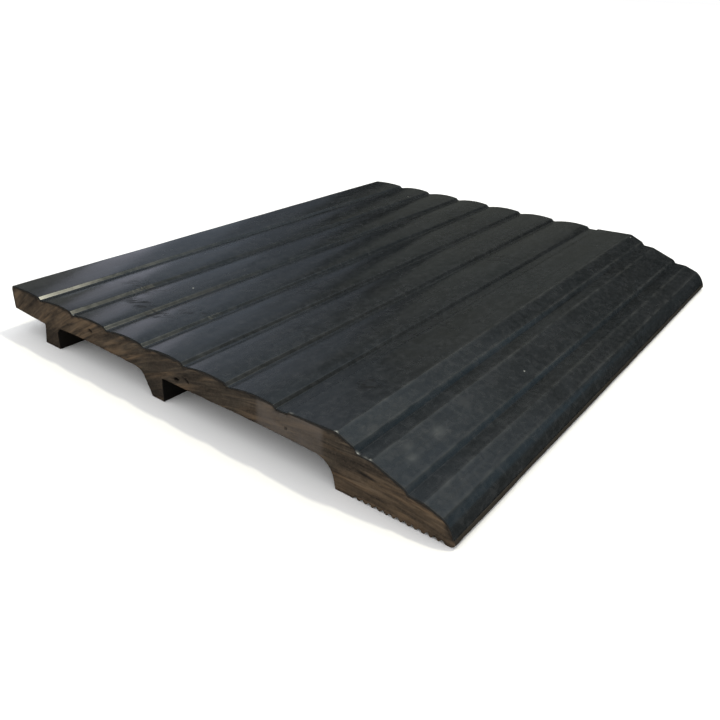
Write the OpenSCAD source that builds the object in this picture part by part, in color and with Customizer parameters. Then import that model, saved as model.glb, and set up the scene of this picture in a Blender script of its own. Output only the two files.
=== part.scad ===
// Portable threshold ramp: one solid extruded profile with a moulded-on wear layer.
// X runs from the overhanging lip (-X) to the low nose (+X), Y runs along the extrusion,
// and Z is up. The origin is on the floor under the middle of the ramp.

/* [Overall] */
// Length along the extrusion, from one sawn end to the other
ramp_length = 361; // [100:1:1200]
// Height of the ridge where the deck ends and the slope begins
ridge_height = 28.8; // [27.5:0.1:32]
// Height of the deck's flat underside
underside_height = 13.4; // [12.5:0.1:14.5]

/* [Deck] */
// Number of crowned treads, from the lip to the landing strip
tread_count = 7; // [4:1:10]
// Distance from one groove to the next
tread_pitch = 29.8; // [26:0.2:34]
// Height of the grooves above the floor
groove_height = 26.4; // [25.5:0.1:27.2]
// Width of the flat at the bottom of a groove
groove_flat = 1.2; // [0.6:0.1:2]
// Height of a tread's front shoulder above the groove
shoulder_height = 1.45; // [0.8:0.05:1.7]
// Distance from a tread's front shoulder to the groove in front of it
shoulder_run = 1.8; // [1.4:0.1:3]
// How far a tread's crown stands above the line from groove to shoulder
crown_rise = 1.3; // [0.6:0.05:1.8]
// Width of the flat landing strip between the last groove and the ridge
landing_width = 32.4; // [26:0.2:40]
// Width of the channel floor in front of the landing strip
landing_channel = 4.6; // [3:0.2:6]
// Height of the landing strip's back edge above the groove
landing_step = 1.1; // [0.6:0.1:1.6]

/* [Lip] */
// How far the lip overhangs the rear leg
lip_overhang = 30; // [20:1:40]
// Height of the lip's underside where it meets the rear leg
lip_root_height = 12; // [11:0.1:13]
// Height of the lip's underside at its free edge
lip_tip_height = 13.5; // [12:0.1:15]
// Height of the lip's top edge
lip_top_height = 27.6; // [26.8:0.1:28]
// Radius of the lip's top edge
lip_radius = 1.8; // [1.6:0.1:4]

/* [Slope] */
// Distance from the ridge to the front of the nose
slope_run = 59; // [57:0.5:64]
// Steepness of the short facet below the ridge, in degrees
facet_angle = 22; // [16:1:26]
// Distance from the ridge to the front of that facet
facet_run = 8.9; // [8:0.1:9.6]
// Height of the upper step's floor
upper_step_height = 22.6; // [22:0.1:23.4]
// Height of the lower step's floor
lower_step_height = 14.6; // [14:0.1:15]
// Height of the top edge of the nose
nose_top_height = 11.7; // [11:0.1:12.4]

/* [Wear layer] */
// Thickness of the wear layer
skin_thickness = 1; // [0.6:0.1:1.5]
// Height above the floor at which the wear layer stops on the nose
skin_stop_height = 4.2; // [3.4:0.1:5]

/* [Legs and foot] */
// Width of the rear leg where it meets the lip
rear_leg_width = 12; // [8:0.5:18]
// Radius of the fillet between the lip and the rear leg
lip_root_radius = 1; // [0.6:0.1:2]
// Radius of the fillet in front of the rear leg
rear_leg_fillet = 4.5; // [1:0.1:8]
// Width of the middle leg's sole
mid_leg_width = 9; // [6:0.5:12]
// Radius of the fillet behind the middle leg
mid_leg_fillet = 7; // [3:0.1:10]
// Radius of the fillet behind the nose foot
foot_fillet = 11.1; // [5:0.1:12]
// Number of gripping teeth under the nose foot
tooth_count = 12; // [4:1:12]
// Distance from one gripping tooth to the next
tooth_pitch = 3.5; // [3:0.1:3.6]
// Depth of the notches between the teeth
tooth_depth = 1.5; // [0.8:0.1:1.8]

/* [Hidden] */

deck_width = tread_count * tread_pitch + landing_width;
total_width = deck_width + slope_run;
lip_x = -total_width / 2;
ridge_x = lip_x + deck_width;
nose_x = ridge_x + slope_run;

// Legs: the rear leg stands where the lip ends and spreads backwards towards its sole,
// and the middle leg stands a little behind the middle of the deck. The back faces of the
// middle leg and of the nose foot lean by a draft angle, in degrees.
rear_leg_back = lip_x + lip_overhang;
rear_leg_front = rear_leg_back + rear_leg_width;
rear_leg_spread = 2;
mid_leg_share = 0.455;
mid_leg_front = ridge_x - mid_leg_share * deck_width;
mid_leg_back = mid_leg_front - mid_leg_width;
mid_leg_draft = 28;
foot_back = ridge_x + 0.4;
foot_draft = 14;

// Landing strip: its channel's floor rises a little, and then steps up over a short run.
landing_channel_rise = 0.2;
landing_step_run = 1.4;

// Slope: distances from the ridge to each break in the surface.
upper_riser_front = 11.1;
upper_step_front = 17.9;
upper_step_fall = 0.3;
upper_tread_front = 34.2;
lower_riser_rise = 2.3;
lower_riser_front = 36.2;
lower_step_front = 43.6;
lower_step_fall = 0.2;
nose_top_x = 52.3;

// Nose: the front leans out towards the floor and is rounded at both ends.
nose_bulge = 0.75;
nose_setback = 0.7;
nose_low_height = 2;
nose_sole = 2.6;
nose_corner_rise = 0.55;

// Gripping teeth: the first notch starts this far behind the front of the nose.
tooth_zone_back = 6;
tooth_tip = 0.8;

// Points on the arc from a to b that bulges to the left by rise; a itself is left out.
function arc_between(a, b, rise, steps) =
    let (
        half = norm(b - a) / 2,
        bulge = abs(rise),
        radius = (half * half + bulge * bulge) / (2 * bulge),
        ahead = (b - a) / (2 * half),
        left = [-ahead[1], ahead[0]] * sign(rise),
        centre = (a + b) / 2 - left * (radius - bulge),
        half_angle = asin(half / radius)
    )
    [for (i = [1:steps])
        let (t = half_angle * (2 * i / steps - 1))
        centre + radius * (ahead * sin(t) + left * cos(t))];

// Back of a leg from its sole's back edge up to the deck's underside: a face that leans back
// by draft, and then a concave arc that meets both it and the underside smoothly.
function leg_back(sole_back, draft, radius) =
    let (
        face_rise = underside_height - radius * (1 - sin(draft)),
        centre = [
            sole_back - face_rise * tan(draft) - radius * cos(draft),
            underside_height - radius
        ],
        steps = 10
    )
    concat(
        [[sole_back, 0]],
        [for (i = [0:steps])
            let (angle = draft + (90 - draft) * i / steps)
            centre + radius * [cos(angle), sin(angle)]]
    );

// Concave quarter circle from the deck's underside down to a leg's front face.
function front_fillet(leg_front, radius) =
    [for (angle = [90:15:180])
        [leg_front + radius, underside_height - radius] + radius * [cos(angle), sin(angle)]];

// Direction to the right of segment i of a path, one unit long.
function right_of(path, i) =
    let (step = path[i + 1] - path[i])
    [step[1], -step[0]] / norm(step);

// The same path moved sideways to its right by a distance, with mitred corners.
function moved_right(path, distance) =
    [for (i = [0:len(path) - 1])
        let (
            before = right_of(path, max(i - 1, 0)),
            after = right_of(path, min(i, len(path) - 2)),
            both = before + after
        )
        path[i] + both * 2 * distance / (both * both)];

// Crowned tread number i, from the groove behind it to its front shoulder.
function tread(i) =
    let (
        back = lip_x + i * tread_pitch + groove_flat / 2,
        shoulder = lip_x + (i + 1) * tread_pitch - groove_flat / 2 - shoulder_run
    )
    concat(
        [[back, groove_height]],
        arc_between([back, groove_height], [shoulder, groove_height + shoulder_height], crown_rise, 8),
        [[lip_x + (i + 1) * tread_pitch - groove_flat / 2, groove_height]]
    );

// First tread, which starts at the rounded top edge of the lip.
function lip_tread() =
    let (
        edge = [lip_x + lip_radius, lip_top_height],
        shoulder = [lip_x + tread_pitch - groove_flat / 2 - shoulder_run, groove_height + shoulder_height]
    )
    concat(
        [[lip_x, lip_tip_height], [lip_x, lip_top_height - lip_radius]],
        arc_between([lip_x, lip_top_height - lip_radius], edge, lip_radius * (1 - cos(45)), 5),
        arc_between(edge, shoulder, crown_rise / 2, 8),
        [[lip_x + tread_pitch - groove_flat / 2, groove_height]]
    );

// Flat landing strip, from the channel behind it to the ridge.
function landing() =
    let (back = ridge_x - landing_width + groove_flat / 2)
    [
        [back, groove_height],
        [back + landing_channel, groove_height + landing_channel_rise],
        [back + landing_channel + landing_step_run, groove_height + landing_step],
        [ridge_x, ridge_height]
    ];

// Stepped slope from the facet below the ridge to where the wear layer stops.
function slope() =
    let (
        nose_top = [ridge_x + nose_top_x, nose_top_height],
        skin_end = [nose_x - nose_setback, skin_stop_height]
    )
    concat(
        [
            [ridge_x + facet_run, ridge_height - facet_run * tan(facet_angle)],
            [ridge_x + upper_riser_front, upper_step_height + upper_step_fall],
            [ridge_x + upper_step_front, upper_step_height],
            [ridge_x + upper_tread_front, lower_step_height + lower_riser_rise],
            [ridge_x + lower_riser_front, lower_step_height + lower_step_fall],
            [ridge_x + lower_step_front, lower_step_height],
            nose_top
        ],
        arc_between(nose_top, skin_end, nose_bulge, 6)
    );

// Whole walking surface, from the lip's underside to the end of the wear layer.
function walking_surface() =
    concat(
        lip_tread(),
        [for (i = [1:tread_count - 1]) each tread(i)],
        landing(),
        slope()
    );

// Front of the nose below the wear layer, then the teeth and the flat sole behind them.
function nose_and_teeth() =
    let (
        nose_low = [nose_x, nose_low_height],
        first_notch = nose_x - tooth_zone_back,
        flank = (tooth_pitch - tooth_tip) / 2
    )
    concat(
        [[nose_x - nose_setback, skin_stop_height], nose_low],
        arc_between(nose_low, [nose_x - nose_sole, 0], nose_corner_rise, 4),
        [[first_notch + flank, 0], [first_notch, tooth_depth]],
        [for (i = [0:tooth_count - 1])
            let (notch = first_notch - i * tooth_pitch)
            each [
                [notch - flank, 0],
                [notch - flank - tooth_tip, 0],
                [notch - tooth_pitch, tooth_depth]
            ]
        ],
        [[first_notch - tooth_count * tooth_pitch - flank, 0]]
    );

// Back of the rear leg, from its sole up to a small fillet under the lip.
function lip_root() =
    let (
        sole_back = [rear_leg_back - rear_leg_spread, 0],
        corner = [rear_leg_back, lip_root_height],
        fillet_start = corner + lip_root_radius * (sole_back - corner) / norm(sole_back - corner),
        fillet_end = [
            rear_leg_back - lip_root_radius,
            lip_underside_height(lip_overhang - lip_root_radius)
        ]
    )
    concat(
        [sole_back, fillet_start],
        arc_between(fillet_start, fillet_end, -lip_root_radius * (1 - cos(45)), 3)
    );

// Underside from the nose foot back to the lip.
function underside() =
    concat(
        leg_back(foot_back, foot_draft, foot_fillet),
        [[mid_leg_front, underside_height], [mid_leg_front, 0]],
        leg_back(mid_leg_back, mid_leg_draft, mid_leg_fillet),
        front_fillet(rear_leg_front, rear_leg_fillet),
        [[rear_leg_front, 0]],
        lip_root()
    );

// Underside of the lip at a distance in from its free edge.
function lip_underside_height(inset) =
    lip_tip_height + (lip_root_height - lip_tip_height) * inset / lip_overhang;

// Inner side of the wear layer, which starts on the lip's sloping underside.
function bonded_surface() =
    let (inner = moved_right(walking_surface(), skin_thickness))
    concat(
        [[lip_x + skin_thickness, lip_underside_height(skin_thickness)]],
        [for (i = [1:len(inner) - 1]) inner[i]]
    );

module along_the_ramp() {
    translate([0, ramp_length / 2, 0])
        rotate([90, 0, 0])
            linear_extrude(height = ramp_length)
                children();
}

// Solid body: lip, deck, three supports and the wedge of the nose.
module core_profile() {
    color([0.36, 0.29, 0.22])
        along_the_ramp()
            polygon(concat(bonded_surface(), nose_and_teeth(), underside()));
}

// Dark wear layer over the lip, the treads, the slope and the upper nose.
module wear_layer() {
    color([0.16, 0.18, 0.20])
        along_the_ramp()
            polygon(concat(
                walking_surface(),
                [for (i = [len(bonded_surface()) - 1:-1:0]) bonded_surface()[i]]
            ));
}

core_profile();
wear_layer();
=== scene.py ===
"""Looks for the threshold ramp: a brown extruded core under a dark wear layer, cut square at both ends."""
import math

import bpy
import numpy as np
from mathutils import Matrix, Vector
from mathutils.geometry import delaunay_2d_cdt


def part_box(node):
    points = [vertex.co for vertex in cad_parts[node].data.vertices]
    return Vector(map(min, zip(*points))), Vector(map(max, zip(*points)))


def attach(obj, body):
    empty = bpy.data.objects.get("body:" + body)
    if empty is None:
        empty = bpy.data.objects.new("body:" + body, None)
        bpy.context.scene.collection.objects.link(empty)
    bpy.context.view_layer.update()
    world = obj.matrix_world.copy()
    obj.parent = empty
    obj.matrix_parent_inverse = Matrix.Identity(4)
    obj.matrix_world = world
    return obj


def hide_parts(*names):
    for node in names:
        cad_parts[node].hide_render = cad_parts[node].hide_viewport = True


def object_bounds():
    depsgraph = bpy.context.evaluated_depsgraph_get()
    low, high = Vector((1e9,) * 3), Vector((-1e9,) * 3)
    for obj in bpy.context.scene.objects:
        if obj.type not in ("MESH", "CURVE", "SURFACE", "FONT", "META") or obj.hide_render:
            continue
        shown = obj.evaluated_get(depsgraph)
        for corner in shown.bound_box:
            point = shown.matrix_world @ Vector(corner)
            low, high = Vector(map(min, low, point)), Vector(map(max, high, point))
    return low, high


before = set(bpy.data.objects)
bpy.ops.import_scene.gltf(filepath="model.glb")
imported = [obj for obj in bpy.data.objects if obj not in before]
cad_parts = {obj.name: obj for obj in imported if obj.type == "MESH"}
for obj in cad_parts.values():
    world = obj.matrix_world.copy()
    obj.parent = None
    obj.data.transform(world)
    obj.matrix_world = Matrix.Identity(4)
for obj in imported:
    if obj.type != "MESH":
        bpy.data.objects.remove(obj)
CAD_LOW, CAD_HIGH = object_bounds()
MM = 0.001

# ---------------------------------------------------------------- camera, solved from the photo
HEADING = math.radians(35.892)
DOWN = math.radians(27.330)
ROLL = math.radians(2.496)
FOCAL_PX = 722.49
IMAGE_PX = 720
SENSOR = 36.0
EYE = Vector((0.24225, -0.37502, 0.18912))
NEAREST, FURTHEST = 0.01, 400.0


def make_camera():
    level = Vector((-math.sin(HEADING), math.cos(HEADING), 0))
    right = Vector((math.cos(HEADING), math.sin(HEADING), 0))
    up = Vector((0, 0, 1))
    ahead = level * math.cos(DOWN) - up * math.sin(DOWN)
    over = up * math.cos(DOWN) + level * math.sin(DOWN)
    cam_x = right * math.cos(ROLL) + over * math.sin(ROLL)
    cam_y = over * math.cos(ROLL) - right * math.sin(ROLL)
    data = bpy.data.cameras.new("camera")
    data.sensor_width = SENSOR
    data.lens = FOCAL_PX / IMAGE_PX * SENSOR
    data.clip_start, data.clip_end = NEAREST, FURTHEST
    cam = bpy.data.objects.new("camera", data)
    bpy.context.scene.collection.objects.link(cam)
    turn = Matrix((cam_x, cam_y, -ahead)).transposed().to_4x4()
    cam.matrix_world = Matrix.Translation(EYE) @ turn
    bpy.context.scene.camera = cam


make_camera()


# ---------------------------------------------------------------- outlines from the CAD nodes, in millimetres
ON_PLANE = 1e-6  # metres
SMOOTH_TURN = math.radians(12)  # a smaller turn than this is part of a curve
SUPPORT = 0.3  # distance of the point that holds a flat flat beside a rounded corner
MOST_OF_SIDE = 0.4  # the share of a side that a rounded corner may take


def end_outline(node):
    """The (x, z) outline of a node's near end, anticlockwise."""
    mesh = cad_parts[node].data
    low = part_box(node)[0].y
    mesh.calc_loop_triangles()
    at = [tuple(round(c, 6) for c in v.co) for v in mesh.vertices]
    used = {}
    for tri in mesh.loop_triangles:
        p = [at[i] for i in tri.vertices]
        if all(abs(q[1] - low) < ON_PLANE for q in p):
            for a, b in ((0, 1), (1, 2), (2, 0)):
                key = tuple(sorted(((p[a][0], p[a][2]), (p[b][0], p[b][2]))))
                used[key] = used.get(key, 0) + 1
    links = {}
    for (a, b), count in used.items():
        if count == 1:
            links.setdefault(a, []).append(b)
            links.setdefault(b, []).append(a)
    start = min(links)
    loop, last = [start], None
    while True:
        here = loop[-1]
        onward = next(p for p in links[here] if p != last)
        if onward == start:
            break
        last = here
        loop.append(onward)
    pts = np.array(loop) / MM
    nxt = np.roll(pts, -1, axis=0)
    area = np.sum(pts[:, 0] * nxt[:, 1] - nxt[:, 0] * pts[:, 1])
    return pts if area > 0 else pts[::-1].copy()


def unit(v):
    return v / np.linalg.norm(v)


def fine_line(points, bonded, radius, step):
    """A closed outline with its corners rounded and its curves filled in.

    Returns its points and whether each is bonded to the other piece.
    """
    n = len(points)
    knots = []  # point, tangent in, tangent out, bonded, and whether a rounded corner ends here
    for i in range(n):
        a, b, c = points[i - 1], points[i], points[(i + 1) % n]
        d0, d1 = unit(b - a), unit(c - b)
        turn = math.atan2(d0[0] * d1[1] - d0[1] * d1[0], d0 @ d1)
        if bonded[i]:
            knots.append((b, d0, d1, True, False))
        elif abs(turn) < SMOOTH_TURN:
            t = unit(d0 + d1)
            knots.append((b, t, t, False, False))
        else:
            cut = min(
                radius * math.tan(abs(turn) / 2),
                MOST_OF_SIDE * np.linalg.norm(b - a),
                MOST_OF_SIDE * np.linalg.norm(c - b),
            )
            p, q = b - d0 * cut, b + d1 * cut
            knots.append((p, d0, d0, False, True))
            for t in (1 / 3, 2 / 3):
                mid = (1 - t) ** 2 * p + 2 * t * (1 - t) * b + t * t * q
                tan = unit((1 - t) * (b - p) + t * (q - b))
                knots.append((mid, tan, tan, False, False))
            knots.append((q, d1, d1, False, True))
    out, flags = [], []
    for k, (a, _, ta, bond_a, end_a) in enumerate(knots):
        b, tb, _, bond_b, end_b = knots[(k + 1) % len(knots)]
        gap = np.linalg.norm(b - a)
        out.append(a)
        flags.append(bond_a)
        if bond_a and bond_b:
            continue
        ts = list(np.arange(1, math.ceil(gap / step)) / math.ceil(gap / step))
        if end_a and gap > 2.5 * SUPPORT:
            ts.append(SUPPORT / gap)
        if end_b and gap > 2.5 * SUPPORT:
            ts.append(1 - SUPPORT / gap)
        for t in sorted(ts):
            h00, h10 = 2 * t**3 - 3 * t**2 + 1, t**3 - 2 * t**2 + t
            h01, h11 = 3 * t**2 - 2 * t**3, t**3 - t**2
            out.append(h00 * a + h10 * gap * ta + h01 * b + h11 * gap * tb)
            flags.append(False)
    return np.array(out), np.array(flags)


def outward(points):
    """Outward unit normals of a closed anticlockwise outline."""
    step = np.roll(points, -1, axis=0) - np.roll(points, 1, axis=0)
    n = np.stack([step[:, 1], -step[:, 0]], 1)
    return n / np.linalg.norm(n, axis=1)[:, None]


def shared(points, others):
    """Which points of one outline are points of the other too."""
    there = {tuple(p) for p in others.round(3)}
    return np.array([tuple(p) in there for p in points.round(3)])


core_raw = end_outline("core_profile")
skin_raw = end_outline("wear_layer")
core_bond = shared(core_raw, skin_raw)
skin_bond = shared(skin_raw, core_raw)

LOW, HIGH = np.array(CAD_LOW) / MM, np.array(CAD_HIGH) / MM
NEAR, FAR = LOW[1], HIGH[1]

core_line, core_flag = fine_line(core_raw, core_bond, radius=0.28, step=1.8)
skin_line, skin_flag = fine_line(skin_raw, skin_bond, radius=0.6, step=1.5)


def corners(points, bonded):
    """An outline's free corners as rows of x, z and turn in radians, positive where it stands out."""
    before, after = points - np.roll(points, 1, axis=0), np.roll(points, -1, axis=0) - points
    turn = np.arctan2(before[:, 0] * after[:, 1] - before[:, 1] * after[:, 0], (before * after).sum(1))
    sharp = (np.abs(turn) > SMOOTH_TURN) & ~bonded
    return np.column_stack([points, turn])[sharp]


def nearness(line, at, strength, reach):
    """How near each outline point is to the nearest of some places, 1 at a place of full strength."""
    gap = np.hypot(line[:, None, 0] - at[None, :, 0], line[:, None, 1] - at[None, :, 1])
    return (np.exp(-((gap / reach) ** 2)) * strength).max(1)


skin_corners = corners(skin_raw, skin_bond)


# ---------------------------------------------------------------- relief
def waves(u, v, seed, length, count=10, spread=1.0):
    """A smooth random field of about unit size over arrays u and v, with features about length long."""
    r = np.random.default_rng(seed)
    total = np.zeros(np.broadcast(u, v).shape)
    for _ in range(count):
        angle = r.uniform(0, math.tau)
        k = math.tau / (length * r.uniform(0.6, 1.7))
        total += np.sin(k * (u * math.cos(angle) + spread * v * math.sin(angle)) + r.uniform(0, math.tau))
    return total / math.sqrt(count / 2)


SAW_X, SAW_Z = 110.0, -311.0  # centre of the saw's arcs on the cut faces


def saw_relief(x, z, side):
    """How far a cut face lies in from the node's end, from 0 to 0.3 mm."""
    r = np.hypot(x - SAW_X, z - SAW_Z)
    arcs = waves(r, x * 0.03, 11 + side, 2.2, 8) * 0.03 + waves(r, x * 0.02, 21 + side, 0.9, 6) * 0.015
    lumps = waves(x, z, 31 + side, 7.0, 10) * 0.02
    return np.clip(0.12 + arcs + lumps, 0.0, 0.3)


# Pits in the cut faces: x, z, half length, half width, tilt in degrees, depth.
NEAR_PITS = [
    (-76.1, 21.5, 1.6, 0.8, -10, 1.1),
    (-7.9, 17.0, 2.3, 0.8, 12, 1.2),
    (-0.4, 18.9, 1.8, 0.7, -25, 1.1),
    (63.4, 18.6, 1.0, 0.8, 0, 0.3),
]
FAR_PITS = [
    (-96.0, 19.5, 1.8, 0.6, 30, 0.9),
    (-23.5, 11.0, 1.0, 0.7, 10, 0.6),
    (22.5, 20.0, 2.2, 0.7, 15, 1.0),
    (70.0, 17.0, 1.2, 0.5, 5, 0.6),
    (116.0, 9.5, 2.6, 0.6, -12, 0.8),
]


def pit_field(x, z, pits):
    """Depth of the pits at each point, and how much painted shade they get, shallow pits less."""
    depth = np.zeros_like(x)
    strength = np.zeros_like(x)
    for k, (px, pz, hx, hz, tilt, deep) in enumerate(pits):
        c, s = math.cos(math.radians(tilt)), math.sin(math.radians(tilt))
        u, v = (x - px) * c + (z - pz) * s, (z - pz) * c - (x - px) * s
        ragged = 1 + 0.18 * waves(x, z, 70 + k, 1.5, 6)
        d = np.hypot(u / hx, v / hz) / ragged
        fall = np.clip((1.25 - d) / 0.55, 0, 1)
        fall = fall * fall * (3 - 2 * fall)
        depth = np.maximum(depth, deep * fall)
        strength = np.maximum(strength, fall * min(1.0, 2 * deep - 0.1))
    return depth, strength


# Scuffed places on the walking surface: x, y, half length, half width, heading in degrees, and strength.
SCUFFS = [
    (77.5, -138.5, 5.5, 5.0, 70, 1.0),
    (-66.0, -150.0, 20.0, 4.5, -5, 0.8),
    (-40.0, -136.0, 12.0, 6.0, 20, 0.45),
    (-92.0, -132.0, 14.0, 7.0, 0, 0.4),
    (18.0, -112.0, 10.0, 8.0, 40, 0.35),
    (-20.0, -70.0, 16.0, 10.0, 10, 0.3),
    (70.0, -58.0, 11.0, 3.0, 0, 0.4),
    (-70.0, 20.0, 18.0, 12.0, 30, 0.3),
    (40.0, 60.0, 14.0, 10.0, 0, 0.3),
    (-30.0, 130.0, 16.0, 9.0, -20, 0.35),
]

# Faint pale blots on the upper sloped tread: x, y, half length along Y, half width, and strength.
BLOTS = [(116.1, -140.8, 4.0, 2.4, 0.10), (118.2, -163.9, 3.2, 2.0, 0.08), (113.7, -160.4, 2.6, 1.6, 0.07)]


def scuff_field(x, y):
    scuffed = np.zeros(np.broadcast(x, y).shape)
    for mx, my, hu, hv, heading, strength in SCUFFS:
        c, s = math.cos(math.radians(heading)), math.sin(math.radians(heading))
        u, v = (x - mx) * c + (y - my) * s, (y - my) * c - (x - mx) * s
        scuffed = np.maximum(scuffed, strength * np.exp(-((u / hu) ** 4) - (v / hv) ** 4))
    return scuffed


def blot_field(x, y):
    pale = np.zeros(np.broadcast(x, y).shape)
    for mx, my, along, aside, strength in BLOTS:
        pale = np.maximum(pale, strength * np.exp(-(((x - mx) / aside) ** 2) - ((y - my) / along) ** 2))
    return pale


# Burrs that the saw left along the wear layer's near rim, raised and painted bright as a glint: x, half
# width, and how bright.
BURRS = [
    (91.1, 0.55, 0.9),
    (102.2, 0.5, 0.9),
    (105.7, 0.5, 0.8),
    (108.4, 0.6, 0.75),
    (-90.2, 0.6, 0.9),
    (66.5, 1.2, 0.3),
]


def burr_and_glint_field(x):
    bright = np.zeros_like(x)
    for at, half, tone in BURRS:
        bright = np.maximum(bright, tone * np.exp(-(((x - at) / half) ** 2)))
    return bright


BY_CUT = [0, 0.16, 0.45, 0.9, 1.6, 2.6, 4.0]  # distances of the sections next to a cut
CLOSE_UP = -118.0  # nearer the camera than this the sections are closer together


def slices():
    """Distances along the ramp at which its section is repeated."""
    ys = [NEAR + d for d in BY_CUT]
    y = ys[-1]
    while y < CLOSE_UP:
        y += 1.7
        ys.append(y)
    while y < FAR - 7.5:
        y += 3.6
        ys.append(y)
    ys += [FAR - d for d in reversed(BY_CUT)]
    return np.array(ys)


YS = slices()


# ---------------------------------------------------------------- meshes
ROW_HEIGHT = 0.866  # of a grid of equal triangles with unit sides
JITTER = 0.12  # how far a grid point strays, in spacings
PIT_STEP = 0.32  # distance between points round a pit


def cap_points(loop, spacing, pits, seed):
    """Points inside a loop for its cap: a jittered triangular grid, finer around the pits."""
    r = np.random.default_rng(seed)
    lo, hi = loop.min(0), loop.max(0)
    rows = []
    z, odd = lo[1] + spacing * 0.5, False
    while z < hi[1]:
        xs = np.arange(lo[0] + spacing * (1.0 if odd else 0.5), hi[0], spacing)
        rows.append(np.stack([xs, np.full_like(xs, z)], 1))
        z += spacing * ROW_HEIGHT
        odd = not odd
    grid = np.concatenate(rows)
    grid += r.uniform(-JITTER, JITTER, grid.shape) * spacing
    keep = np.ones(len(grid), bool)
    rings = []
    for px, pz, hx, hz, tilt, _ in pits:
        c, s = math.cos(math.radians(tilt)), math.sin(math.radians(tilt))
        d = grid - (px, pz)
        u, v = d[:, 0] * c + d[:, 1] * s, d[:, 1] * c - d[:, 0] * s
        keep &= np.hypot(u / (hx * 1.5 + 0.3), v / (hz * 1.5 + 0.3)) > 1
        for q in np.arange(0.25, 1.6, 0.22):
            count = max(6, int(math.tau * q * (hx + hz) / 2 / PIT_STEP))
            for t in np.arange(count) / count * math.tau + q * 3:
                eu, ev = math.cos(t) * q * hx, math.sin(t) * q * hz
                rings.append((px + eu * c - ev * s, pz + eu * s + ev * c))
    grid = np.concatenate([grid[keep], np.array(rings).reshape(-1, 2)])
    return grid[well_inside(grid, loop, margin=0.3)]


def well_inside(pts, loop, margin):
    """Whether each point lies inside the loop and at least margin from it."""
    inside = np.zeros(len(pts), bool)
    nearest = np.full(len(pts), 1e9)
    for a, b in zip(loop, np.roll(loop, -1, axis=0)):
        crosses = (a[1] > pts[:, 1]) != (b[1] > pts[:, 1])
        with np.errstate(divide="ignore", invalid="ignore"):
            at = a[0] + (pts[:, 1] - a[1]) * (b[0] - a[0]) / (b[1] - a[1])
        inside ^= crosses & (pts[:, 0] < at)
        ab = b - a
        t = np.clip(((pts - a) @ ab) / max(ab @ ab, 1e-12), 0, 1)
        nearest = np.minimum(nearest, np.linalg.norm(pts - a - t[:, None] * ab, axis=1))
    return inside & (nearest > margin)


def cap_faces(loop, inner):
    """Triangles over the loop's points followed by the inner points."""
    pts = [Vector(p) for p in np.concatenate([loop, inner])]
    edges = [(i, (i + 1) % len(loop)) for i in range(len(loop))]
    _, _, faces, orig, _, _ = delaunay_2d_cdt(pts, edges, [], 1, 1e-7)
    home = [o[0] if o else -1 for o in orig]
    return [tuple(home[i] for i in f) for f in faces if all(home[i] >= 0 for i in f)]


TEETH_FROM = 99.0  # x of the first gripping tooth
LEAST_CHAMFER, MOST_CHAMFER = 0.03, 0.36


def chamfer(line, flags, seed):
    """How far the cut rounds off each outline point, less where a corner is too tight for it."""
    ahead, behind = np.roll(line, -1, axis=0) - line, line - np.roll(line, 1, axis=0)
    la, lb = np.linalg.norm(ahead, axis=1), np.linalg.norm(behind, axis=1)
    turn = np.arcsin(np.clip((behind[:, 0] * ahead[:, 1] - behind[:, 1] * ahead[:, 0]) / (la * lb), -1, 1))
    room = np.where(turn > 0.05, 0.5 * (la + lb) / np.maximum(turn, 0.05), 1.0)
    for _ in range(2):
        room = np.minimum(room, np.minimum(np.roll(room, 1), np.roll(room, -1)))
    along = np.concatenate([[0], np.cumsum(la[:-1])])
    c = 0.16 + 0.06 * waves(along, along * 0, seed, 4.0, 8) + 0.04 * waves(along, along * 0, seed + 1, 1.3, 8)
    teeth = (line[:, 0] > TEETH_FROM) & (line[:, 1] < 2)
    most = np.where(teeth, LEAST_CHAMFER, MOST_CHAMFER)
    return np.where(flags, 0, np.minimum(np.clip(c, LEAST_CHAMFER, most), 0.35 * room))


RING_TOO_NEAR, RING_GAP = 0.1, 0.12  # a ring closer than this to the end's ring is moved this far from it


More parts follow.
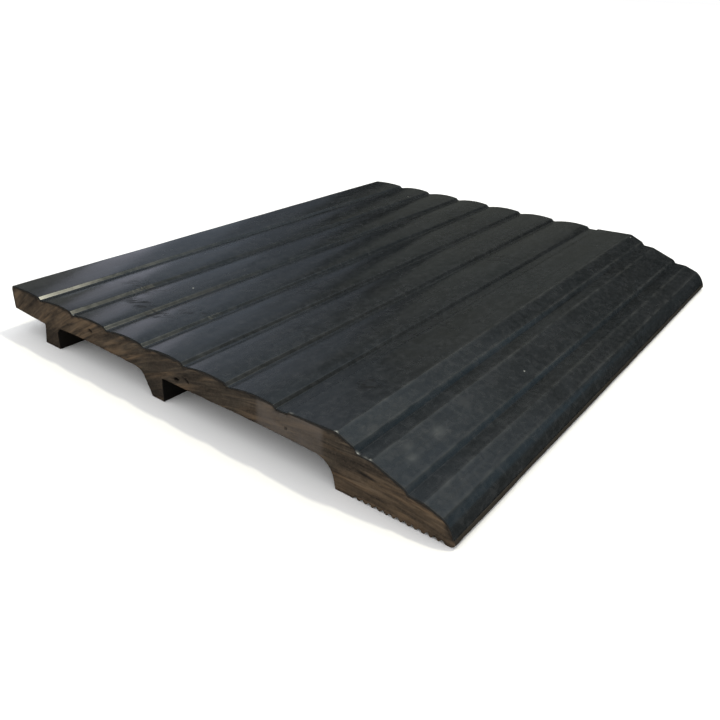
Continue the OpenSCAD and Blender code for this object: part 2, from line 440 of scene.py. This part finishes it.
def build(name, line, flags, relief, spacing, rim_reach, seed):
    """One extruded piece with relief on its sides and its two sawn ends. Returns the object.

    spacing is that of the points on the ends, and rim_reach is how far the bond's mark reaches.
    """
    n, m = len(line), len(YS)
    normal = outward(line)
    pos = np.zeros((m, n, 3))
    # On the sides the marks are painted shade in the hollows; pale blots, rubbed edges with a painted
    # highlight and burrs with a painted glint; and scuffs. On the ends they are nearness to the bond, 0 and
    # painted shade in the pits.
    marks = np.zeros((m, n, 3))
    for j, y in enumerate(YS):
        yy = np.full(n, y)
        h, *tones = relief(line, normal, yy)
        h = np.where(flags, 0, h)
        pos[j, :, 0] = line[:, 0] + normal[:, 0] * h
        pos[j, :, 1] = y
        pos[j, :, 2] = line[:, 1] + normal[:, 1] * h
        marks[j] = np.stack(tones, 1)
    rim = line[flags]
    caps = []
    for side, (j, sign) in enumerate(((0, 1), (m - 1, -1))):
        c = chamfer(line, flags, seed + 3 * side)
        pos[j, :, 0] -= normal[:, 0] * c
        pos[j, :, 2] -= normal[:, 1] * c
        end = NEAR if side == 0 else FAR
        pits = NEAR_PITS if side == 0 else FAR_PITS
        loop = pos[j][:, [0, 2]]
        inner = cap_points(loop, spacing, pits, seed + side)
        both = np.concatenate([loop, inner])
        x, z = both[:, 0], both[:, 1]
        # The pits get painted shade, more in the deeper ones.
        deep, strength = pit_field(x, z, pits)
        y = end + sign * (saw_relief(x, z, side) + deep)
        pos[j, :, 1] = y[:n]
        near_ring = pos[j + sign]
        near_ring[:, 1] = np.where(
            sign * (near_ring[:, 1] - end) < sign * (pos[j, :, 1] - end) + RING_TOO_NEAR,
            pos[j, :, 1] + sign * RING_GAP,
            near_ring[:, 1],
        )
        bond = nearness(both, rim, 1.0, rim_reach)
        marks[j, :, 0] = np.where(flags, 1.0, marks[j, :, 0])
        marks[j, :, 2] = strength[:n]
        caps.append((side, inner, y[n:], bond[n:], strength[n:], cap_faces(loop, inner)))
    verts = [pos.reshape(-1, 3)]
    tone = [marks.reshape(-1, 3)]
    faces, kinds = [], []  # kind 0 is a side, kind 1 a sawn end
    for j in range(m - 1):
        for i in range(n):
            k = (i + 1) % n
            faces.append((j * n + i, (j + 1) * n + i, (j + 1) * n + k, j * n + k))
            kinds.append(0)
    base = m * n
    for side, inner, y, bond, strength, tris in caps:
        first = 0 if side == 0 else (m - 1) * n
        verts.append(np.stack([inner[:, 0], y, inner[:, 1]], 1))
        tone.append(np.stack([bond, strength * 0, strength], 1))
        for f in tris:
            g = [first + i if i < n else base + i - n for i in f]
            faces.append(tuple(g if side == 0 else g[::-1]))
            kinds.append(1)
        base += len(inner)
    verts = np.concatenate(verts)
    verts = np.clip(verts, LOW, HIGH) * MM
    tone = np.concatenate(tone)
    mesh = bpy.data.meshes.new(name)
    mesh.from_pydata(verts.tolist(), [], faces)
    mesh.polygons.foreach_set("material_index", np.array(kinds, np.int32))
    mesh.polygons.foreach_set("use_smooth", np.ones(len(faces), bool))
    layer = mesh.attributes.new("marks", "FLOAT_COLOR", "POINT")
    rgba = np.concatenate([tone, np.ones((len(tone), 1))], 1).astype(np.float32)
    layer.data.foreach_set("color", rgba.ravel())
    mesh.validate()
    mesh.update()
    obj = bpy.data.objects.new(name, mesh)
    bpy.context.scene.collection.objects.link(obj)
    return obj


SLOPE_FROM = 80.0  # the corners beyond this x are the slope's, which feet and wheels rub most; their edges get the stronger painted highlight
# How near each point is to the wear layer's hollow corners, where painted shade darkens the grooves.
skin_hollow_shade = nearness(skin_line, skin_corners, skin_corners[:, 2] < 0, 1.5)
# How near each point is to the outer corners, for rubbed wear with a painted highlight line along the edges.
rub_and_highlight_weight = np.where(skin_corners[:, 0] < SLOPE_FROM, 0.15, 0.8) * (skin_corners[:, 2] > 0)
skin_edge_highlight = nearness(skin_line, skin_corners, rub_and_highlight_weight, 0.55)


def skin_relief(line, normal, y):
    x = line[:, 0]
    upward = normal[:, 1] > 0.3
    h = 0.035 * waves(x, y, 101, 60.0, 10, 0.6) + 0.02 * waves(x, y, 102, 18.0, 12, 0.5)
    scuffed = scuff_field(x, y) * upward
    dents = scuffed * np.clip(waves(x, y, 106, 5.0, 10), 0, 1.5) * 0.05
    hollow_shade = skin_hollow_shade * np.clip(0.22 + 0.12 * waves(x, y, 103, 30.0, 8, 0.4), 0.05, 0.6)
    # Paler along the outer edges, most on the slope: rubbed wear and a painted highlight line.
    rubbed_and_highlight = np.clip(0.05 + 0.02 * waves(x * 0.2, y, 104, 14.0, 10), 0.01, 0.12) * skin_edge_highlight
    # The burrs stand out a little, and their pale colour is a painted glint.
    burr_and_glint = burr_and_glint_field(x) * np.exp(-(((y - NEAR) / 0.8) ** 2)) * upward
    # Paler marks: blots, rubbed edges with a painted highlight, and burrs with a painted glint.
    light = np.maximum(np.maximum(blot_field(x, y) * upward, rubbed_and_highlight), burr_and_glint)
    return h - 0.03 - dents + 0.25 * burr_and_glint, hollow_shade, light, scuffed


def core_relief(line, normal, y):
    x, z = line[:, 0], line[:, 1]
    h = 0.05 * waves(x + z, y, 201, 45.0, 10, 0.6) + 0.03 * waves(x * 1.3 - z, y, 202, 11.0, 12, 0.5)
    teeth = (x > TEETH_FROM) & (z < 1.8)
    h = h - 0.04 + np.where(teeth, 0.1 * waves(x, y, 203, 4.2, 10, 0.5) - 0.06, 0)
    return np.where(teeth, np.clip(h, -0.17, 0.05), h), x * 0, x * 0, x * 0


core = build("ramp_core", core_line, core_flag, core_relief, spacing=0.95, rim_reach=1.6, seed=300)
skin = build("ramp_wear_layer", skin_line, skin_flag, skin_relief, spacing=0.8, rim_reach=0.75, seed=400)


# ---------------------------------------------------------------- materials
class Shader:
    """A node material under construction. Every method that adds nodes returns an output socket."""

    def __init__(self, name):
        self.material = bpy.data.materials.new(name)
        self.material.use_nodes = True
        self.tree = self.material.node_tree
        self.tree.nodes.clear()
        self.out = self.tree.nodes.new("ShaderNodeOutputMaterial")
        self.bsdf = self.tree.nodes.new("ShaderNodeBsdfPrincipled")
        self.tree.links.new(self.bsdf.outputs[0], self.out.inputs["Surface"])
        self.coord = self.node("ShaderNodeTexCoord").outputs["Object"]
        xyz = self.node("ShaderNodeSeparateXYZ")
        self.link(self.coord, xyz.inputs[0])
        self.x, self.y, self.z = xyz.outputs
        attribute = self.node("ShaderNodeAttribute")
        attribute.attribute_name = "marks"
        rgb = self.node("ShaderNodeSeparateColor")
        self.link(attribute.outputs["Color"], rgb.inputs[0])
        # Channels of the marks: painted shade in the hollows on the sides and nearness to the bond on the
        # ends; pale blots, rubbed edges with a painted highlight and burrs with a painted glint; scuffs on
        # the sides and painted shade in the pits on the ends.
        self.dark, self.light, self.scuffs_and_pit_shade = rgb.outputs

    def node(self, kind):
        return self.tree.nodes.new(kind)

    def link(self, source, target):
        if isinstance(source, bpy.types.NodeSocket):
            self.tree.links.new(source, target)
        else:
            target.default_value = source

    def math(self, operation, *values):
        n = self.node("ShaderNodeMath")
        n.operation = operation
        for socket, value in zip(n.inputs, values):
            self.link(value, socket)
        return n.outputs[0]

    def times(self, a, b):
        return self.math("MULTIPLY", a, b)

    def plus(self, a, b):
        return self.math("ADD", a, b)

    def minus(self, a, b):
        return self.math("SUBTRACT", a, b)

    def vector(self, x, y, z):
        n = self.node("ShaderNodeCombineXYZ")
        for socket, value in zip(n.inputs, (x, y, z)):
            self.link(value, socket)
        return n.outputs[0]

    def scaled(self, sx, sy, sz):
        """The object coordinate with each axis multiplied."""
        n = self.node("ShaderNodeVectorMath")
        n.operation = "MULTIPLY"
        self.link(self.coord, n.inputs[0])
        n.inputs[1].default_value = (sx, sy, sz)
        return n.outputs[0]

    def noise(self, where, scale=1.0, detail=3.0, rough=0.55, warp=0.0):
        n = self.node("ShaderNodeTexNoise")
        self.link(where, n.inputs["Vector"])
        n.inputs["Scale"].default_value = scale
        n.inputs["Detail"].default_value = detail
        n.inputs["Roughness"].default_value = rough
        n.inputs["Distortion"].default_value = warp
        return n.outputs["Fac"]

    def specks(self, where, scale, size):
        """1 in a few small round specks, about one for every five cells of a pattern, and 0 between them."""
        n = self.node("ShaderNodeTexVoronoi")
        n.inputs["Scale"].default_value = scale
        self.link(where, n.inputs["Vector"])
        rgb = self.node("ShaderNodeSeparateColor")
        self.link(n.outputs["Color"], rgb.inputs[0])
        chosen = self.math("GREATER_THAN", rgb.outputs[0], 0.8)  # one cell in five
        return self.times(self.step(n.outputs["Distance"], size, size * 0.6), chosen)

    def step(self, value, low, high):
        """0 at low, 1 at high, smooth between; low may be the larger."""
        n = self.node("ShaderNodeMapRange")
        n.interpolation_type = "SMOOTHSTEP"
        self.link(value, n.inputs["Value"])
        self.link(low, n.inputs["From Min"])
        self.link(high, n.inputs["From Max"])
        return n.outputs[0]

    def between(self, value, begins, full, still_full, ends):
        """1 from full to still_full, falling smoothly to 0 at begins and at ends."""
        return self.times(self.step(value, begins, full), self.step(value, ends, still_full))

    def spread(self, value, low, high, to_low, to_high):
        """to_low at low, to_high at high, straight between, and no further."""
        n = self.node("ShaderNodeMapRange")
        self.link(value, n.inputs["Value"])
        for name, v in (("From Min", low), ("From Max", high), ("To Min", to_low), ("To Max", to_high)):
            self.link(v, n.inputs[name])
        return n.outputs[0]

    def mix(self, factor, a, b):
        """Colour a where the factor is 0, colour b where it is 1."""
        n = self.node("ShaderNodeMix")
        n.data_type = "RGBA"
        self.link(factor, n.inputs["Factor"])
        colours = [s for s in n.inputs if s.type == "RGBA"]
        self.link(a, colours[0])
        self.link(b, colours[1])
        return next(s for s in n.outputs if s.type == "RGBA")

    def bump(self, height, strength, distance, below=None):
        """A normal bent by a height, on top of another bump's normal if one is given."""
        n = self.node("ShaderNodeBump")
        n.inputs["Strength"].default_value = strength
        n.inputs["Distance"].default_value = distance
        self.link(height, n.inputs["Height"])
        if below is not None:
            self.link(below, n.inputs["Normal"])
        return n.outputs[0]

    def finish(self, colour, roughness, normal, specular):
        self.link(colour, self.bsdf.inputs["Base Color"])
        self.link(roughness, self.bsdf.inputs["Roughness"])
        self.link(normal, self.bsdf.inputs["Normal"])
        self.link(specular, self.bsdf.inputs["Specular IOR Level"])
        return self.material


def srgb(r, g, b):
    """A colour given as it looks on screen, 0 to 255."""
    linear = [c / 255 / 12.92 if c <= 10.3 else ((c / 255 + 0.055) / 1.055) ** 2.4 for c in (r, g, b)]
    return (*linear, 1.0)


# Places in the materials are in metres. A stretch of four says where a thing begins, is full, is still
# full and ends.
SKIN_SPECULAR = 0.5
# The duller front shoulders of the second and third treads, and how much specular level each loses.
DULL_SHOULDERS = [((-0.0935, -0.0928, -0.0909, -0.0904), 0.2), ((-0.0637, -0.0630, -0.0611, -0.0606), 0.1)]
SLOPE_BEGINS = (0.08, 0.09)
RIM_DEPTH = (0.0009, 0.0004)  # distances from the near cut where the sawn rim ends and is full
DRAG = (0.8, 0.6)  # the way in x and y that scuff marks are drawn out, of unit length


def skin_material():
    """Dark rubber with a satin skin: cloudy, drawn out along the ramp, scuffed, with painted shade in its
    grooves, a painted highlight on its rubbed edges and a painted glint on its burrs.
    """
    s = Shader("wear_layer_surface")
    broad = s.noise(s.scaled(9, 7, 9), detail=2)
    cloud = s.noise(s.scaled(75, 38, 75), detail=4, rough=0.62, warp=0.5)
    drawn = s.noise(s.scaled(700, 8, 700), detail=4, rough=0.6)
    streaks = s.noise(s.scaled(210, 2.5, 210), detail=3)
    smudge = s.noise(s.scaled(26, 13, 26), detail=3, warp=0.8)
    grain = s.noise(s.coord, scale=1500, detail=2)
    base = s.mix(s.step(broad, 0.35, 0.65), srgb(31, 35, 37), srgb(34, 36, 36))
    base = s.mix(s.spread(cloud, 0.3, 0.7, 0.0, 1.0), base, srgb(41, 44, 46))
    base = s.mix(s.spread(drawn, 0.35, 0.65, 0.0, 0.3), base, srgb(23, 25, 26))
    base = s.mix(s.spread(streaks, 0.42, 0.7, 0.0, 0.28), base, srgb(48, 49, 50))
    mottle = s.noise(s.scaled(300, 240, 300), detail=3, rough=0.6, warp=0.6)
    base = s.mix(s.spread(mottle, 0.5, 0.72, 0.0, 0.45), base, srgb(56, 57, 58))
    base = s.mix(s.spread(mottle, 0.5, 0.3, 0.0, 0.4), base, srgb(22, 24, 25))
    # Painted shade in the grooves.
    base = s.mix(s.times(s.dark, 0.75), base, srgb(15, 16, 17))
    along = s.plus(s.times(s.x, DRAG[0]), s.times(s.y, DRAG[1]))
    aside = s.minus(s.times(s.y, DRAG[0]), s.times(s.x, DRAG[1]))
    dashes = s.vector(s.times(along, 110), s.times(aside, 330), 0)
    nicks = s.noise(dashes, detail=2, rough=0.6, warp=0.5)
    nicks = s.times(s.scuffs_and_pit_shade, s.step(nicks, 0.47, 0.6))
    base = s.mix(s.times(nicks, 0.85), base, srgb(17, 18, 19))
    specks = s.times(s.specks(s.coord, 75, 0.05), 0.75)
    # Pale blots, dust specks, a painted highlight on the rubbed edges and a painted glint on the burrs.
    base = s.mix(s.math("MAXIMUM", s.light, specks), base, srgb(165, 166, 160))
    rough = s.spread(cloud, 0.3, 0.7, 0.165, 0.225)
    rough = s.plus(rough, s.spread(drawn, 0.3, 0.7, -0.025, 0.025))
    rough = s.plus(rough, s.spread(smudge, 0.42, 0.7, 0.0, 0.09))
    rough = s.plus(rough, s.spread(mottle, 0.35, 0.65, -0.02, 0.03))
    rough = s.plus(rough, s.times(s.scuffs_and_pit_shade, 0.07))
    rough = s.plus(rough, s.times(nicks, 0.3))
    rim = s.step(s.y, NEAR * MM + RIM_DEPTH[0], NEAR * MM + RIM_DEPTH[1])
    rough = s.plus(rough, s.times(rim, s.spread(s.x, *SLOPE_BEGINS, 0.0, 0.2)))
    normal = s.bump(grain, 0.08, 0.00005)
    normal = s.bump(drawn, 0.14, 0.00007, normal)
    normal = s.bump(s.times(nicks, -1), 0.5, 0.00025, normal)
    normal = s.bump(cloud, 0.10, 0.00025, normal)
    dull = s.times(rim, s.spread(s.x, *SLOPE_BEGINS, 0.0, 0.32))
    for stretch, loss in DULL_SHOULDERS:
        dull = s.plus(dull, s.times(s.between(s.x, *stretch), loss))
    return s.finish(base, rough, normal, s.minus(SKIN_SPECULAR, dull))


def skin_cut_material():
    """The wear layer's sawn edge: black, with brown dragged over it from the core."""
    s = Shader("wear_layer_cut")
    grain = s.noise(s.scaled(500, 500, 500), detail=3)
    smear = s.noise(s.scaled(210, 210, 210), detail=3, rough=0.6)
    reach = s.plus(s.times(s.dark, 0.75), s.spread(smear, 0.3, 0.7, -0.45, 0.45))
    base = s.mix(s.step(reach, 0.25, 0.65), srgb(46, 46, 45), srgb(62, 52, 43))
    base = s.mix(s.spread(grain, 0.3, 0.7, 0, 0.5), base, srgb(32, 28, 24))
    return s.finish(base, 0.6, s.bump(grain, 0.3, 0.0001), 0.3)


PALE_TAIL = (-0.045, -0.085)  # x where the paler end at the lip begins and is full
PALE_NOSE = (0.062, 0.074)  # x - NOSE_LEAN * z where the paler nose begins and is full
NOSE_LEAN = 2.4
PATCH = (0.0445, 0.048, 0.082, 0.0855)  # stretch of x with the greyish patch
LEG_SHADE_HEIGHT = (0.0135, 0.008)  # heights where the painted shade on the legs begins and is full
LEG_SHADE_END = (0.06, 0.05)  # x where that ends, before the nose foot
DRAGGED_OVER = (0.0264, 0.0271)  # heights where black dragged over the cut begins and is full
SMEAR = (0.100, 0.105, 0.109, 0.1145)  # stretch of x with the dark smear above the nose foot


def core_cut_material():
    """The sawn face of the brown core: arcs from the saw, darker and paler zones, painted shade low on the
    legs and in the pits, pores and blotches.
    """
    s = Shader("core_cut")
    aside = s.minus(s.x, SAW_X * MM)
    above = s.minus(s.z, SAW_Z * MM)
    reach = s.math("SQRT", s.plus(s.times(aside, aside), s.times(above, above)))
    side = s.times(s.y, 3.0)
    arcs = s.noise(s.vector(s.times(reach, 430), s.times(s.x, 45), side), detail=4, rough=0.62, warp=0.7)
    bands = s.noise(s.vector(s.times(reach, 190), s.times(s.x, 24), side), detail=2, warp=0.8)
    cloud = s.noise(s.scaled(80, 3, 110), detail=3, warp=0.6)
    grain = s.noise(s.coord, scale=1100, detail=3, rough=0.7)
    tail = s.step(s.x, *PALE_TAIL)
    nose = s.step(s.plus(s.x, s.times(s.z, -NOSE_LEAN)), *PALE_NOSE)
    pale = s.math("MAXIMUM", tail, nose)
    base = s.mix(pale, srgb(60, 52, 42), srgb(80, 65, 48))
    base = s.mix(s.spread(cloud, 0.38, 0.62, 0, 0.55), base, srgb(50, 41, 31))
    base = s.mix(s.spread(bands, 0.5, 0.72, 0, 0.75), base, srgb(106, 84, 60))
    base = s.mix(s.spread(arcs, 0.34, 0.54, 0.85, 0.0), base, srgb(34, 27, 20))
    base = s.mix(s.spread(arcs, 0.55, 0.75, 0.0, 0.6), base, srgb(112, 94, 74))
    patch = s.between(s.x, *PATCH)
    base = s.mix(s.times(patch, s.spread(cloud, 0.3, 0.7, 0.35, 0.85)), base, srgb(86, 79, 74))
    # Painted shade on the legs, darker towards the floor.
    leg_shade = s.times(s.step(s.z, *LEG_SHADE_HEIGHT), s.step(s.x, *LEG_SHADE_END))
    base = s.mix(s.times(leg_shade, 0.6), base, srgb(34, 29, 24))
    base = s.mix(s.spread(grain, 0.42, 0.75, 0.0, 0.3), base, srgb(102, 87, 72))
    blotch = s.times(s.dark, s.step(s.noise(s.scaled(150, 20, 150), detail=3), 0.46, 0.62))
    base = s.mix(s.times(blotch, 0.75), base, srgb(30, 25, 21))
    middle = s.plus(s.z, s.spread(s.x, 0.1, 0.115, -0.0150, -0.0134))  # height above the smear's line
    smear = s.times(s.between(s.x, *SMEAR), s.step(s.math("ABSOLUTE", middle), 0.0011, 0.0002))
    base = s.mix(s.times(smear, 0.8), base, srgb(22, 18, 15))
    top = s.plus(s.z, s.spread(cloud, 0.3, 0.7, -0.0003, 0.0003))
    dragged = s.times(s.step(top, *DRAGGED_OVER), s.spread(s.x, -0.05, -0.02, 0.42, 0.65))
    base = s.mix(dragged, base, srgb(37, 35, 32))
    # Painted shade in the pits.
    base = s.mix(s.scuffs_and_pit_shade, base, srgb(12, 10, 8))
    rough = s.spread(arcs, 0.3, 0.7, 0.75, 0.6)
    normal = s.bump(arcs, 0.4, 0.00018)
    normal = s.bump(grain, 0.25, 0.00008, normal)
    return s.finish(base, rough, normal, 0.3)


NOSE_STRIP_FROM = (0.1465, 0.1475)  # x where the brown strip under the nose begins and is full
NOSE_STRIP_ABOVE = (0.0002, 0.0012)  # and its heights


def core_material():
    """The core's extruded underside: almost black, partly its own colour and partly painted shade, drawn out
    along the ramp, browner under the nose.
    """
    s = Shader("core_surface")
    drawn = s.noise(s.scaled(700, 7, 700), detail=4)
    cloud = s.noise(s.scaled(60, 30, 60), detail=3)
    grain = s.noise(s.coord, scale=1200, detail=2)
    # The near-black base is partly painted shade from under the deck.
    base = s.mix(s.step(cloud, 0.4, 0.6), srgb(26, 23, 20), srgb(20, 19, 18))
    base = s.mix(s.spread(drawn, 0.35, 0.65, 0, 0.5), base, srgb(34, 29, 24))
    nose = s.times(s.step(s.x, *NOSE_STRIP_FROM), s.step(s.z, *NOSE_STRIP_ABOVE))
    base = s.mix(nose, base, srgb(52, 46, 38))
    normal = s.bump(drawn, 0.2, 0.0001)
    normal = s.bump(grain, 0.15, 0.00006, normal)
    return s.finish(base, s.spread(cloud, 0.3, 0.7, 0.5, 0.62), normal, 0.3)


skin.data.materials.append(skin_material())
skin.data.materials.append(skin_cut_material())
core.data.materials.append(core_material())
core.data.materials.append(core_cut_material())
for piece, node, slot in ((core, "core_profile", "core"), (skin, "wear_layer", "wear_surface")):
    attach(piece, "root")
    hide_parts(node)


# ---------------------------------------------------------------- stage
FLOOR_RADIUS = 120.0
FLOOR_GAP = 0.0001  # the floor lies this far under the feet, so that no two faces share a plane


def make_floor():
    """A round pale floor whose rings are finer near the ramp. The ramp doesn't mirror it."""
    mesh = bpy.data.meshes.new("floor")
    rings, steps = 24, 48
    turns = [t / steps * math.tau for t in range(steps)]
    verts, faces = [(0, 0, 0)], []
    for k in range(rings):
        r = FLOOR_RADIUS * ((k + 1) / rings) ** 3
        verts += [(r * math.cos(t), r * math.sin(t), 0) for t in turns]
    for t in range(steps):
        faces.append((0, 1 + t, 1 + (t + 1) % steps))
        for k in range(rings - 1):
            a, b = 1 + k * steps, 1 + (k + 1) * steps
            faces.append((a + t, b + t, b + (t + 1) % steps, a + (t + 1) % steps))
    mesh.from_pydata(verts, [], faces)
    floor = bpy.data.objects.new("floor", mesh)
    bpy.context.scene.collection.objects.link(floor)
    mat = bpy.data.materials.new("floor")
    mat.use_nodes = True
    bsdf = mat.node_tree.nodes["Principled BSDF"]
    bsdf.inputs["Base Color"].default_value = (0.99, 0.99, 0.99, 1)
    bsdf.inputs["Roughness"].default_value = 0.9
    bsdf.inputs["Specular IOR Level"].default_value = 0.0
    mesh.materials.append(mat)
    floor.location.z = -FLOOR_GAP
    floor.visible_glossy = False


make_floor()


def make_world():
    """Even white light from all round. The ramp doesn't mirror it: only the cards below shine in it."""
    world = bpy.data.worlds.new("studio")
    bpy.context.scene.world = world
    world.use_nodes = True
    back = world.node_tree.nodes["Background"]
    back.inputs["Color"].default_value = (1.0, 1.0, 1.0, 1)
    back.inputs["Strength"].default_value = 1.0
    world.cycles_visibility.glossy = False


make_world()


def softbox(name, heading, elevation, distance, width, height, radiance, colour):
    """A rectangular light that faces the ramp from a direction, heading 0 along +Y and 90 along -X."""
    a, e = math.radians(heading), math.radians(elevation)
    way = Vector((-math.sin(a) * math.cos(e), math.cos(a) * math.cos(e), math.sin(e)))
    data = bpy.data.lights.new(name, "AREA")
    data.shape = "RECTANGLE"
    data.size, data.size_y = width, height
    data.energy = radiance * math.pi * width * height
    data.color = colour
    light = bpy.data.objects.new(name, data)
    bpy.context.scene.collection.objects.link(light)
    light.location = way * distance
    light.rotation_mode = "QUATERNION"
    light.rotation_quaternion = way.to_track_quat("Z", "Y")


def across(degrees, distance):
    """The width that fills an angle at a distance."""
    return 2 * distance * math.tan(math.radians(degrees) / 2)


def card(name, headings, elevations, distance, radiance, colour):
    """A softbox that fills a range of headings and elevations as the ramp sees them, in degrees."""
    width = across(headings[1] - headings[0], distance)
    height = across(elevations[1] - elevations[0], distance)
    softbox(name, sum(headings) / 2, sum(elevations) / 2, distance, width, height, radiance, colour)


COOL, BLUE, PALE = (0.83, 0.85, 1.0), (0.70, 0.81, 1.0), (0.96, 1.0, 0.88)
SKY = (0.62, 0.80, 1.0)
# Name, headings, elevations, distance, radiance, colour.
CARDS = [
    ("left_end", (61.5, 76), (5, 34), 6.0, 0.15, (1.0, 1.0, 0.9)),
    ("left_bright", (56, 61), (6, 34), 6.1, 0.73, COOL),
    ("left_middle", (48, 56), (6, 34), 6.2, 0.30, BLUE),
    ("left_wing", (40, 48), (6, 34), 6.3, 0.15, BLUE),
    ("left_low", (53.5, 64), (-7, 5), 6.4, 0.5, BLUE),
    ("middle_low", (48, 53.5), (-7, 5), 6.4, 0.26, BLUE),
    ("wing_low", (40, 49), (-7, 5), 6.4, 0.09, BLUE),
    ("left_high", (38, 58), (23, 40), 7.2, 0.13, BLUE),
    ("back", (15.5, 34.5), (-3, 29), 6.5, 0.105, PALE),
    ("upper_low", (-5, 45), (38, 44), 6.6, 0.25, SKY),
    ("upper_high", (-5, 45), (44, 60), 6.7, 0.55, SKY),
    ("right_blue", (-50, -27), (14, 32), 6.8, 0.3, (0.3, 0.68, 1.0)),
    ("behind", (192, 256), (4, 36), 6.6, 0.13, PALE),
    ("far_low", (-14, 12), (0, 9), 6.6, 0.10, PALE),
    ("left_side", (77, 118), (0, 12), 6.6, 0.10, PALE),
    ("glow", (-34, -10), (44, 54), 30.0, 0.05, (0.80, 0.93, 1.0)),
    ("halo", (-34, -10), (54, 58), 30.0, 0.6, (0.62, 0.86, 1.0)),
    ("overhead", (-25, -19), (64.3, 66.7), 30.0, 218, (1.0, 0.965, 0.76)),
]
for row in CARDS:
    card(*row)

bpy.context.scene.view_settings.view_transform = "Standard"
bpy.context.view_layer.update()
